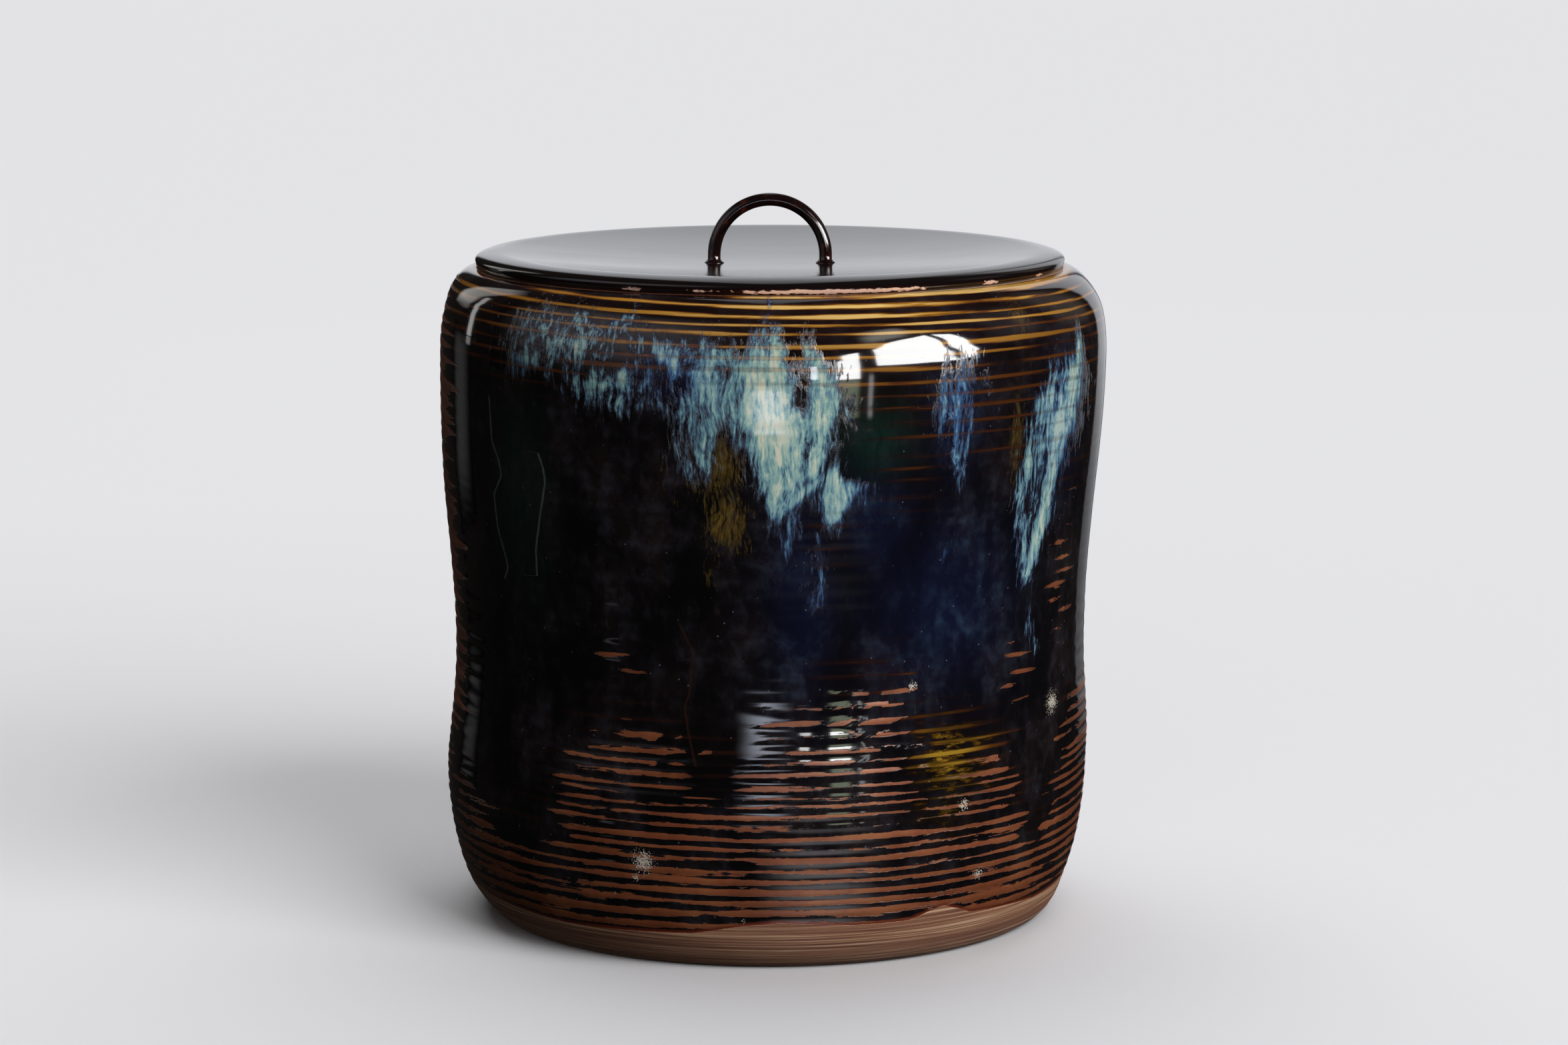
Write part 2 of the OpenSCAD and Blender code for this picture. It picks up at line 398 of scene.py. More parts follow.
quarter = np.linspace(0, np.pi / 2, TURN_ROWS)
foot_rows = BELLY_Z * (1 - np.cos(quarter[1:]) ** (2 / FOOT_POWER))
fine_rows = np.arange(FINE_FROM, FINE_TO, FINE_STEP)
plain_rows = np.arange(FINE_TO, PLAIN_TO, PLAIN_STEP)
lip_rows = SHOULDER_Z + (RIM_Z - SHOULDER_Z) * np.sin(quarter) ** (2 / LIP_POWER)
outside_z = np.concatenate([
    [0.0], foot_rows[foot_rows < FINE_FROM], fine_rows, plain_rows, lip_rows[lip_rows > PLAIN_TO]])
outside = list(zip(wall_radius(outside_z), outside_z))

rim_turn = np.linspace(0, np.pi / 2, RIM_ROWS)
rim = [(MOUTH_R + RIM_ROUND * (1 - math.sin(t)), RIM_Z - RIM_ROUND * (1 - math.cos(t))) for t in rim_turn]
inside_z = np.linspace(RIM_Z - MOUTH_DEPTH, FLOOR_Z, INSIDE_ROWS)
neck_share = (inside_z - SHOULDER_Z) / (RIM_Z - MOUTH_DEPTH - SHOULDER_Z)
neck = MOUTH_R + (SHOULDER_R - WALL_T - MOUTH_R) * turn_at(neck_share, LIP_POWER)
bowl_share = (BELLY_Z - inside_z) / (BELLY_Z - FLOOR_Z)
bowl = FOOT_R - WALL_T + (BELLY_R - FOOT_R) * turn_at(bowl_share, FOOT_POWER)
wall = wall_radius(inside_z) - WALL_T
inside_r = np.select([inside_z > SHOULDER_Z, inside_z < BELLY_Z], [neck, bowl], wall)
inside = list(zip(inside_r, inside_z)) + [(r, FLOOR_Z) for r in FLOOR_LOOPS_R]
base = [(0.0, BASE_HOLLOW), (BASE_LOOP_R, BASE_HOLLOW),
        (FOOT_R - BASE_RING_W - BASE_SLOPE, BASE_HOLLOW), (FOOT_R - BASE_RING_W, 0.0)]
jar_outline = base + outside + rim + inside
print("jar outline has", len(jar_outline), "points, rim at", round(RIM_Z, 2), "mm")

# %% [markdown]
# ## How the glaze lies
# The look of this pot is where the glaze is thick and where it is thin. Each of these facts is a
# smooth field over azimuth and height, worked out once for each vertex and kept as an attribute:
# the combed rings, where the glaze has drained off them, the pale runs, and the bare foot. The rings,
# the drained glaze and the runs also move the surface, so most of the relief is real geometry.

# %% Lines and patches of the glaze
# How many combed rings lie below a height, as (height, rings). They are closer low down and at the rim
RING_COUNT = ((3, 0), (16, 4), (28, 8), (40, 12), (50, 16), (63, 20), (79, 24), (95, 28), (111, 32),
              (125, 36), (140, 40), (155, 44), (167, 48), (176, 52))

# Height at which the rings come out of the black glaze, as (azimuth, height)
DRAIN_LINE = ((-180, 46), (-165, 58), (-150, 66), (-135, 52), (-120, 42), (-105, 56), (-92, 52),
              (-80, 50), (-70, 48), (-62, 42), (-52, 36), (-44, 38), (-38, 56), (-33, 62), (-22, 66),
              (-15, 66), (-13, 58), (-6, 56), (-1, 62), (2, 71), (10, 76), (24, 76), (25, 58), (34, 55),
              (45, 56), (49, 42), (52, 36), (55, 30), (60, 46), (64, 62), (72, 66), (84, 70), (96, 58),
              (110, 46), (124, 62), (138, 72), (152, 60), (166, 48), (180, 46))
# Height at which the amber lines of the shoulder fade out, as (azimuth, height)
AMBER_LINE = ((-180, 140), (-150, 126), (-120, 146), (-90, 152), (-60, 150), (-32, 148), (-14, 158), (8, 152),
              (20, 138), (40, 128), (60, 116), (74, 122), (95, 140), (130, 150), (160, 146), (180, 140))
# How amber those lines are, as (height, share)
AMBER_CLIMB = ((110, 0.32), (140, 0.42), (152, 0.52), (160, 0.7), (168, 0.94), (176, 1.0))
# Height at which the glaze stops above the bare foot, as (azimuth, height)
FOOT_LINE = ((-180, 12), (-140, 10), (-100, 12), (-60, 10), (-40, 9), (-14, 10.5), (-5, 13), (2, 14),
             (16, 12.5), (26, 12.5), (33, 15.5), (40, 12), (60, 10.5), (90, 12), (130, 10), (180, 12))
# Soft round patches: centre azimuth, centre height, half width in degrees, half height in mm
GOLD_PATCH = (32, 49, 8, 19)
OLIVE_PATCHES = ((-9, 136, 8, 15), (-7, 119, 5, 11), (45, 136, 2.4, 18), (-10, 104, 0.9, 4), (47, 168, 3, 5),
                 (168, 124, 8, 14), (-150, 136, 6, 16))
NAVY_PATCHES = ((31, 96, 16, 24), (6, 100, 6, 26), (32, 146, 6, 18), (18, 118, 8, 14), (58, 138, 7, 20),
                (-16, 157, 7, 7), (-118, 110, 14, 24), (172, 92, 14, 22), (104, 100, 12, 22))
GREEN_PATCHES = ((-47, 122, 7, 26), (18, 140, 6, 9), (150, 120, 9, 26))
DASH_PATCHES = ((63, 98, 5, 26), (49, 76, 4, 12), (-26, 83, 4, 7), (126, 104, 6, 22))
SCRAPED_PATCHES = ((-86, 142, 13, 24), (-84, 104, 11, 24), (-86, 70, 14, 18))
VEIL_PATCHES = ((-35, 161, 20, 10), (-12, 160, 12, 9), (-26, 153, 17, 9), (4, 150, 9, 14), (57, 144, 7, 14),
                (148, 160, 16, 9), (-100, 158, 14, 9))
RUST_PATCHES = ((10, 114, 6, 9), (24, 132, 8, 14), (150, 118, 8, 14))
# Glaze that ran down over the bare rings: azimuth, lowest height, half width in degrees
BLACK_DRIPS = ((-47, 30, 8), (-17, 54, 1.2), (-9, 47, 4), (11, 66, 1.2), (16.5, 55, 0.9), (26, 40, 1.2),
               (53, 28, 3.5), (-75, 34, 3), (-108, 30, 6), (-140, 44, 2), (-168, 30, 5), (98, 40, 3),
               (118, 28, 6), (150, 42, 3))


def wrapped(degrees):
    """An angle brought into -180 to 180."""
    return (degrees + 180) % 360 - 180


def wander(points, *sizes_mm):
    """Smooth noise from -1 to 1 at points in mm, with bumps about as long as the sizes."""
    return np.array([noise.noise(Vector(p)) for p in points / np.array(sizes_mm)])


def read_line(line, at):
    """The value at a place of a line that is given as (place, value) points."""
    places, values = zip(*line)
    return np.interp(at, places, values)


def rise(value, start, length):
    """A soft step from 0 to 1 that begins at a start and takes a length to climb."""
    return ease((value - start) / length)


def fall(value, end, length):
    """A soft step from 1 to 0 that takes a length to come down and ends at an end."""
    return ease((end - value) / length)


def bell(offset, width, power=2):
    """1 in the middle, and less to both sides within about a width."""
    return np.exp(-((offset / width) ** power))


PATCH_DROP = 1.1


def patch_share(patches, azimuth, z):
    """How far a point lies inside the nearest of some soft round patches: 1 in the middle, 0 outside."""
    shares = []
    for at, height, half_width, half_height in patches:
        reach = (wrapped(azimuth - at) / half_width) ** 2 + ((z - height) / half_height) ** 2
        shares.append(np.exp(-PATCH_DROP * reach))
    return np.max(shares, axis=0)


print("patches:", len(OLIVE_PATCHES) + len(NAVY_PATCHES) + len(GREEN_PATCHES) + len(DASH_PATCHES))

# %% Runs of pale glaze
# Strength, then (azimuth, height, half width in degrees) from the top of a run down
FRONT_RUNS = (
    (1.30, ((1.2, 165, 0.4), (1.5, 158, 1.3), (1.8, 150, 1.3), (1.8, 142, 1.2), (1.6, 134, 1.0))),
    (0.98, ((-1.5, 163, 1.2), (-1.5, 157, 2.6), (-1.6, 150, 3.2), (-1.2, 143, 3.0), (-0.2, 136, 2.0),
            (0.7, 128, 1.5), (1.0, 121, 0.7))),
    (0.92, ((6.5, 163, 0.6), (8.3, 158, 1.2), (8.8, 150, 1.8), (8.4, 145, 1.7), (7.8, 138, 1.3),
            (7, 131, 1.0))),
    (0.82, ((4, 148, 0.8), (4.6, 141, 1.8), (4.2, 134, 2.2), (3.4, 127, 1.6), (2, 122, 1.0))),
    (0.95, ((8.2, 130, 0.8), (6, 127.5, 1.2), (4, 125, 1.4), (2, 122.5, 1.4), (1.2, 120.5, 0.7))),
    (1.10, ((10.2, 131, 0.8), (11.6, 128, 2.2), (11.3, 124, 2.0), (10.6, 120, 0.8))),
    (0.60, ((0, 174, 0.2), (-0.7, 169, 0.4), (-1.4, 165, 0.8))),
    (0.50, ((3.4, 121, 1.2), (3.6, 117, 1.4), (3, 112, 0.6))),
    (0.40, ((9.5, 121, 1.2), (9.4, 116, 1.2), (8.2, 110, 1.3), (8.2, 104, 1.1), (8, 98, 0.8))),
    (0.50, ((-18, 163.5, 2.4), (-17, 160, 2.8), (-15.5, 157.5, 1.5))),
    (0.66, ((-10.5, 165, 0.5), (-9.5, 160, 2.2), (-9.6, 154, 2.8), (-9.8, 147, 2.6), (-10.4, 140, 2.0),
            (-11, 131, 1.2))),
    (0.60, ((-6.2, 161, 0.9), (-6, 156, 1.6), (-6.4, 149, 1.6), (-6, 140, 0.9))),
    (0.44, ((-13, 151, 2.4), (-13.2, 144, 2.6), (-13.4, 137, 2.4), (-13.4, 131, 1.4))),
    (0.46, ((-41.5, 170, 1.2), (-41, 167.5, 1.8), (-42, 164, 1.4))),
    (0.52, ((-34, 169.5, 1.6), (-31, 166.5, 3.0), (-32, 163.5, 2.8), (-34, 160, 1.2))),
    (0.54, ((-23.4, 171.5, 0.4), (-24.6, 168.5, 2.4), (-27, 165.5, 1.8))),
    (0.42, ((-38, 167, 0.7), (-38, 162, 0.8), (-37.6, 158.5, 0.5))),
    (0.34, ((-46, 168, 2.4), (-45, 163, 3.2), (-46, 154, 2.4))),
    (0.46, ((-22.6, 164, 1.4), (-23, 158, 1.2), (-24.5, 153, 2.6), (-25, 147, 1.6))),
    (0.52, ((-28.2, 156, 0.6), (-28.2, 152, 0.7))),
    (0.60, ((29.9, 159, 0.4), (29.6, 153, 1.0), (29.3, 147, 1.2), (29, 141, 0.5))),
    (0.64, ((33, 159, 0.4), (32.6, 152, 1.3), (32, 147, 2.0), (32.4, 142, 1.3), (31.8, 133, 0.6))),
    (0.46, ((35.2, 158, 0.5), (34.4, 150, 0.6), (34.6, 141, 0.6), (33.2, 131, 0.9), (33, 124, 0.5))),
    (0.30, ((36.4, 159.5, 0.6), (38.4, 150, 0.7), (40.2, 146, 0.6))),
    (1.02, ((63.6, 160, 0.6), (62.3, 154, 1.5), (60.4, 148, 3.0), (58.4, 141, 3.2), (56.8, 134, 2.8),
            (55.4, 127, 1.7), (54.6, 119, 1.5), (53.6, 112, 1.6), (52, 107, 1.4), (50.8, 100, 0.6))),
    (0.72, ((55, 151, 1.6), (53, 146, 2.4), (50.6, 139, 2.2), (48.6, 131, 1.8), (47.2, 124, 1.3),
            (47.4, 116, 1.0), (48.8, 108, 1.3), (49.2, 101, 0.9))),
    (0.38, ((50.8, 101, 0.6), (51.2, 92, 0.9), (52.2, 86, 1.2), (54, 80, 1.4))),
    (0.36, ((32.3, 114, 0.8), (32.3, 111, 1.4), (30.6, 107.5, 0.8))),
    (0.75, ((59, 152, 1.5), (57, 146, 2.5), (54.5, 140, 2.5), (52.5, 134, 1.5))),
    (0.50, ((54, 140, 3.0), (52.6, 132, 3.2), (51.4, 124, 3.2), (50.8, 116, 2.6), (50.4, 108, 1.5))),
)
# Unseen side: which of the runs above are laid there again, and how many degrees round
BACK_RUNS = ((24, 46), (25, 46), (29, 46), (10, 142), (12, 140), (14, 162), (0, 168), (1, 168), (3, 170),
             (20, 110), (21, 110), (24, -176), (25, -176), (29, -176), (14, -62), (17, -60), (10, -84),
             (0, -118), (1, -119), (2, -118), (21, -170))
# A run has a core and a thinner mist: widths in half widths, reach past the ends in mm, and shares
CORE_WIDTH = 1.25
CORE_END = 2.5
CORE_DROP = 0.6
MIST_WIDTH = 3
MIST_END = 6
MIST_SHARE = 0.5


def run_share(run, azimuth, z, shift=0):
    """How far a point lies inside a run of pale glaze that is laid so many degrees round the jar."""
    strength, path = run
    places, heights, halves = (np.array(v, float)[::-1] for v in zip(*path))
    across = wrapped(azimuth - shift - np.interp(z, heights, places)) / np.interp(z, heights, halves)
    past = np.maximum(np.maximum(heights[0] - z, z - heights[-1]), 0)
    core = np.exp(-CORE_DROP * np.abs(across / CORE_WIDTH) ** 3) * bell(past, CORE_END)
    mist = bell(across, MIST_WIDTH) * bell(past, MIST_END)
    return strength * np.maximum(core, MIST_SHARE * mist)


print("pale runs:", len(FRONT_RUNS) + len(BACK_RUNS))

# %% Threads and chips
# Thin trickles of glaze, as (azimuth, height) points from the top down
THREADS = (
    ((-54.5, 147), (-54, 135), (-52, 130), (-51.5, 126), (-54, 121), (-53.5, 112), (-51.3, 102), (-53, 98)),
    ((-42, 135), (-40.6, 130), (-40.2, 126.5), (-41.5, 119), (-43.4, 108), (-43.6, 101)),
    ((-15.6, 93), (-13, 85), (-13.6, 75), (-14.6, 70), (-13.4, 61), (-12.4, 55)),
    ((152, 140), (151, 128), (153, 118), (152, 104)),
    ((-96, 138), (-97.5, 126), (-95.5, 116), (-96.5, 100)),
)
THREAD_REACH = 5.0
NO_THREAD = 99.0
# Places where the glaze was knocked off: azimuth, height, radius in mm
CHIPS = ((-22, 29.5, 4.2), (-23.6, 25, 1.4), (60, 64, 4.2), (40, 22.8, 2.2), (35.4, 42.3, 2.2),
         (25.4, 75, 1.8), (-27.7, 20, 0.9), (-4.4, 14.6, 0.9), (139, 51, 2.6), (-131, 36, 3.2))


def thread_offset(azimuth, z, radius):
    """Signed distance in mm across to the nearest thread, and whether one is near."""
    offset = np.full(len(z), NO_THREAD)
    for path in THREADS:
        places, heights = (np.array(v, float)[::-1] for v in zip(*path))
        across = np.radians(wrapped(azimuth - np.interp(z, heights, places))) * radius
        beyond = (z < heights[0]) | (z > heights[-1])
        offset = np.where((np.abs(across) < np.abs(offset)) & ~beyond, across, offset)
    return offset, (np.abs(offset) < THREAD_REACH).astype(float)


def chip_share(azimuth, z, radius):
    """1 in the middle of a chip, 0 at its edge and negative outside."""
    shares = [1 - np.hypot(np.radians(wrapped(azimuth - a)) * radius, z - h) / r for a, h, r in CHIPS]
    return np.clip(np.max(shares, axis=0), -1, 1)


print("threads:", len(THREADS), "chips:", len(CHIPS))

# %% Jar mesh
JAR_STEPS = 400
jar_bm = spin_outline(jar_outline, JAR_STEPS)
print("jar bmesh:", len(jar_bm.verts), "vertices")

# %% [markdown]
# ## The glaze as a material
# An iron glaze is black where it is thick, amber where it thins over a ring, and a dry red-brown
# where it has drained away. The shader follows that: a ring profile and the drain field decide which
# shows, and noise drawn out along the rings breaks the edges. Pale runs of ash glaze lie on top,
# drawn out downwards. Thick glaze is glassy, the drained rings are satin and the foot is bare clay.

# %% Fields and noises of the glaze
# Melted glaze is a smooth glass over the clay, so the eye sees deep colour under sharp reflections
COAT_IOR = 1.5
glaze, tree, shader = new_material("iron_and_ash_glaze_on_combed_stoneware", {"IOR": COAT_IOR})
place = add_node(tree, "ShaderNodeTexCoord").outputs["Object"]
field = {name: add_node(tree, "ShaderNodeAttribute", attribute_name=name).outputs["Fac"]
         for name in ("ring", "drain", "amber", "pale", "gold", "navy", "green", "olive", "veil", "bare",
                      "thread", "threaded", "chip")}

# An eddy moves the places at which the runs and clouds are read, so that they curl as a melt does
EDDY_MM = 5
mapped = add_node(tree, "ShaderNodeMapping", {"Vector": place, "Scale": per_metre(10, 10, 14)}).outputs[0]
eddy = add_node(tree, "ShaderNodeTexNoise", {
    "Vector": mapped, "Scale": 1.0, "Detail": 2.0}).outputs["Color"]
swirl = add_node(tree, "ShaderNodeVectorMath", {0: eddy, 1: (0.5, 0.5, 0.5)},
                 operation="SUBTRACT").outputs[0]
drawn = add_node(tree, "ShaderNodeVectorMath", {0: swirl, "Scale": EDDY_MM * MM},
                 operation="SCALE").outputs[0]
curled = add_node(tree, "ShaderNodeVectorMath", {0: place, 1: drawn}, operation="ADD").outputs[0]

# Name, place, size of a bump in mm on each axis, detail, roughness
GRAINS = (
    ("along", place, (40, 40, 1.5), 4, 0.55),
    ("lumps", place, (4, 4, 1.1), 4, 0.6),
    ("fibre", curled, (1.2, 1.2, 9), 6, 0.64),
    ("curd", curled, (0.6, 0.6, 2.6), 4, 0.65),
    ("speck", place, (0.4, 0.4, 0.4), 2, 0.5),
    ("milk", curled, (4, 4, 5), 5, 0.62),
    ("cloud", curled, (15, 15, 24), 4, 0.6),
    ("turning", place, (70, 70, 0.55), 3, 0.6),
)
grain = {}
for name, source, sizes, detail, roughness in GRAINS:
    mapped = add_node(tree, "ShaderNodeMapping", {"Vector": source, "Scale": per_metre(*sizes)}).outputs[0]
    grain[name] = add_node(tree, "ShaderNodeTexNoise", {
        "Vector": mapped, "Scale": 1.0, "Detail": detail, "Roughness": roughness}).outputs["Fac"]

# 1 on the top of a combed ring and 0 in the groove
turned = add_node(tree, "ShaderNodeMath", {0: field["ring"], 1: 2 * math.pi},
                  operation="MULTIPLY").outputs[0]
wave = add_node(tree, "ShaderNodeMath", {0: turned}, operation="COSINE").outputs[0]
crest = add_node(tree, "ShaderNodeMapRange", {"Value": wave, "From Min": -1.0}).outputs[0]
print("noises:", len(grain))

# %% Black glaze with its tints
# Pale specks in the black lie about one to a cell, whose size is in mm
SEED_CELL = 3.6
black_colour = add_node(tree, "ShaderNodeValToRGB", {"Fac": grain["cloud"]}, stops=(
    (0.34, "#08080a"), (0.5, "#100d0f"), (0.68, "#211a1a"))).outputs["Color"]
navy = add_node(tree, "ShaderNodeMath", {0: grain["cloud"], 1: field["navy"]},
                operation="MULTIPLY").outputs[0]
with_navy = add_node(tree, "ShaderNodeMix", {"Factor": navy, 6: black_colour, 7: linear("#171f40")},
                     data_type="RGBA").outputs[2]
green = add_node(tree, "ShaderNodeMath", {0: grain["fibre"], 1: field["green"]},
                 operation="MULTIPLY").outputs[0]
with_green = add_node(tree, "ShaderNodeMix", {"Factor": green, 6: with_navy, 7: linear("#16382f")},
                      data_type="RGBA").outputs[2]
mottled = add_node(tree, "ShaderNodeMath", {0: grain["curd"], 1: 2.0, 2: field["olive"]},
                   operation="MULTIPLY_ADD").outputs[0]
streaked = add_node(tree, "ShaderNodeMath", {0: grain["fibre"], 1: 2.0, 2: mottled},
                    operation="MULTIPLY_ADD").outputs[0]
olive = add_node(tree, "ShaderNodeMapRange", {"Value": streaked, "From Min": 2.55, "From Max": 3.4,
                                              "To Max": 0.8}).outputs[0]
with_olive = add_node(tree, "ShaderNodeMix", {"Factor": olive, 6: with_green, 7: linear("#786028")},
                      data_type="RGBA").outputs[2]

streak = add_node(tree, "ShaderNodeMapRange", {
    "Value": grain["milk"], "From Min": 0.44, "From Max": 0.72}).outputs[0]
patchy = add_node(tree, "ShaderNodeMapRange", {
    "Value": grain["cloud"], "From Min": 0.4, "From Max": 0.62}).outputs[0]
clouded = add_node(tree, "ShaderNodeMath", {0: streak, 1: patchy}, operation="MULTIPLY").outputs[0]
lined = add_node(tree, "ShaderNodeMapRange", {"Value": crest, "To Min": 0.7, "To Max": 1.2}).outputs[0]
dusk = add_node(tree, "ShaderNodeMath", {0: clouded, 1: lined}, operation="MULTIPLY").outputs[0]
dusk_colour = add_node(tree, "ShaderNodeMix", {
    "Factor": field["navy"], 6: linear("#2e2d34"), 7: linear("#2b4158")}, data_type="RGBA").outputs[2]
with_dusk = add_node(tree, "ShaderNodeMix", {"Factor": dusk, 6: with_olive, 7: dusk_colour},
                     data_type="RGBA").outputs[2]

mapped = add_node(tree, "ShaderNodeMapping", {
    "Vector": place, "Scale": per_metre(*[SEED_CELL] * 3)}).outputs[0]
apart = add_node(tree, "ShaderNodeTexVoronoi", {"Vector": mapped, "Scale": 1.0}).outputs["Distance"]
seed = add_node(tree, "ShaderNodeMapRange", {
    "Value": apart, "From Min": 0.07, "From Max": 0.03, "To Max": 0.4}).outputs[0]
tinted = add_node(tree, "ShaderNodeMix", {"Factor": seed, 6: with_dusk, 7: linear("#93a1ad")},
                  data_type="RGBA").outputs[2]
print("glaze nodes so far:", len(tree.nodes))

# %% Pale runs over the black
clotted = add_node(tree, "ShaderNodeMath", {0: grain["milk"], 1: 2.4, 2: -1.0},
                   operation="MULTIPLY_ADD").outputs[0]
milky = add_node(tree, "ShaderNodeMath", {0: clotted, 1: field["veil"], 2: field["pale"]},
                 operation="MULTIPLY_ADD").outputs[0]
fibrous = add_node(tree, "ShaderNodeMath", {0: grain["fibre"], 1: 2.2, 2: milky},
                   operation="MULTIPLY_ADD").outputs[0]
curdled = add_node(tree, "ShaderNodeMath", {0: grain["curd"], 1: 0.9, 2: fibrous},
                   operation="MULTIPLY_ADD").outputs[0]
pale = add_node(tree, "ShaderNodeMapRange", {
    "Value": curdled, "From Min": 1.78, "From Max": 2.95}).outputs[0]
celadon = add_node(tree, "ShaderNodeValToRGB", {"Fac": pale}, stops=(
    (0.0, "#131015"), (0.14, "#2b2b38"), (0.28, "#42546a"), (0.44, "#6a94a2"), (0.6, "#93bcba"),
    (0.8, "#bbd4c4"), (1.0, "#e8e7ce"))).outputs["Color"]
cobalt = add_node(tree, "ShaderNodeValToRGB", {"Fac": pale}, stops=(
    (0.0, "#0d1124"), (0.2, "#22365f"), (0.42, "#456c9c"), (0.65, "#7fabc0"),
    (0.9, "#c2dcd6"))).outputs["Color"]
bluish = add_node(tree, "ShaderNodeMapRange", {"Value": grain["cloud"], "From Min": 0.5, "From Max": 0.64,
                                               "To Max": 0.5}).outputs[0]
hue = add_node(tree, "ShaderNodeMath", {0: bluish, 1: field["navy"]}, operation="MAXIMUM").outputs[0]
pale_colour = add_node(tree, "ShaderNodeMix", {"Factor": hue, 6: celadon, 7: cobalt},
                       data_type="RGBA").outputs[2]
pale_share = add_node(tree, "ShaderNodeMapRange", {"Value": pale, "From Max": 0.3}).outputs[0]
with_pale = add_node(tree, "ShaderNodeMix", {"Factor": pale_share, 6: tinted, 7: pale_colour},
                     data_type="RGBA").outputs[2]
print("glaze nodes so far:", len(tree.nodes))

# %% Amber where the glaze is thin
broken = add_node(tree, "ShaderNodeMath", {0: grain["along"], 1: 2.8, 2: crest},
                  operation="MULTIPLY_ADD").outputs[0]
uneven = add_node(tree, "ShaderNodeMath", {0: grain["along"], 1: 2.0, 2: crest},
                  operation="MULTIPLY_ADD").outputs[0]
glowing = add_node(tree, "ShaderNodeMath", {0: field["amber"], 1: 0.3, 2: uneven},
                   operation="MULTIPLY_ADD").outputs[0]
line = add_node(tree, "ShaderNodeMapRange", {"Value": glowing, "From Min": 1.75, "From Max": 2.2,
                                             "To Min": 0.18}).outputs[0]
ragged = add_node(tree, "ShaderNodeMath", {0: grain["lumps"], 1: 1.1, 2: broken},
                  operation="MULTIPLY_ADD").outputs[0]
drained = add_node(tree, "ShaderNodeMath", {0: field["drain"], 1: 1.4, 2: ragged},
                   operation="MULTIPLY_ADD").outputs[0]
fringe = add_node(tree, "ShaderNodeMapRange", {
    "Value": drained, "From Min": 2.95, "From Max": 3.4}).outputs[0]
on_rings = add_node(tree, "ShaderNodeMath", {0: line, 1: fringe}, operation="MAXIMUM").outputs[0]
mottle = add_node(tree, "ShaderNodeMapRange", {
    "Value": grain["lumps"], "From Min": 0.38, "From Max": 0.66}).outputs[0]
in_gaps = add_node(tree, "ShaderNodeMath", {0: mottle, 1: field["gold"]}, operation="MULTIPLY").outputs[0]
thin = add_node(tree, "ShaderNodeMath", {0: on_rings, 1: in_gaps}, operation="MAXIMUM").outputs[0]
honey = add_node(tree, "ShaderNodeMath", {0: thin, 1: field["amber"]}, operation="MULTIPLY").outputs[0]
honey_colour = add_node(tree, "ShaderNodeValToRGB", {"Fac": honey}, stops=(
    (0.0, "#0d0706"), (0.25, "#2b160f"), (0.5, "#5a3114"), (0.75, "#a9782c"),
    (1.0, "#e2bf76"))).outputs["Color"]
gold_colour = add_node(tree, "ShaderNodeValToRGB", {"Fac": honey}, stops=(
    (0.0, "#0d0706"), (0.3, "#1d1306"), (0.6, "#5c4212"), (0.9, "#a8822a"))).outputs["Color"]
amber_colour = add_node(tree, "ShaderNodeMix", {"Factor": field["gold"], 6: honey_colour, 7: gold_colour},
                        data_type="RGBA").outputs[2]
honey_share = add_node(tree, "ShaderNodeMapRange", {"Value": honey, "From Max": 0.4}).outputs[0]
under_pale = add_node(tree, "ShaderNodeMapRange", {
    "Value": pale_share, "To Min": 1.0, "To Max": 0.45}).outputs[0]
amber_share = add_node(tree, "ShaderNodeMath", {0: honey_share, 1: under_pale},
                       operation="MULTIPLY").outputs[0]
with_amber = add_node(tree, "ShaderNodeMix", {"Factor": amber_share, 6: with_pale, 7: amber_colour},
                      data_type="RGBA").outputs[2]
print("glaze nodes so far:", len(tree.nodes))

# %% Drained rings and threads
# Threads are brown below the first height and pale above the second
THREAD_BROWN_Z = 94
THREAD_PALE_Z = 99
brown = add_node(tree, "ShaderNodeMapRange", {"Value": drained, "From Min": 3.38, "From Max": 3.48},
                 interpolation_type="SMOOTHSTEP").outputs[0]
brown_colour = add_node(tree, "ShaderNodeValToRGB", {"Fac": grain["cloud"]}, stops=(
    (0.3, "#6b371f"), (0.5, "#844a2e"), (0.7, "#9a5f3c"))).outputs["Color"]
drier = add_node(tree, "ShaderNodeMapRange", {
    "Value": field["drain"], "From Min": 0.1, "From Max": 0.5}).outputs[0]
ring_colour = add_node(tree, "ShaderNodeMix", {"Factor": drier, 6: linear("#3f2013"), 7: brown_colour},
                       data_type="RGBA").outputs[2]
with_brown = add_node(tree, "ShaderNodeMix", {"Factor": brown, 6: with_amber, 7: ring_colour},
                      data_type="RGBA").outputs[2]

offset = add_node(tree, "ShaderNodeMath", {0: field["thread"]}, operation="ABSOLUTE").outputs[0]
wobbling = add_node(tree, "ShaderNodeMath", {0: grain["curd"], 1: 0.7, 2: offset},
                    operation="MULTIPLY_ADD").outputs[0]
thread = add_node(tree, "ShaderNodeMapRange", {"Value": wobbling, "From Min": 0.85, "From Max": 0.4,
                                               "To Max": 0.32}).outputs[0]
thread_share = add_node(tree, "ShaderNodeMath", {0: thread, 1: field["threaded"]},
                        operation="MULTIPLY").outputs[0]
height_axis = add_node(tree, "ShaderNodeSeparateXYZ", {0: place}).outputs["Z"]
is_high = add_node(tree, "ShaderNodeMapRange", {
    "Value": height_axis, "From Min": THREAD_BROWN_Z * MM, "From Max": THREAD_PALE_Z * MM}).outputs[0]
thread_colour = add_node(tree, "ShaderNodeMix", {
    "Factor": is_high, 6: linear("#44281c"), 7: linear("#8fa6aa")}, data_type="RGBA").outputs[2]
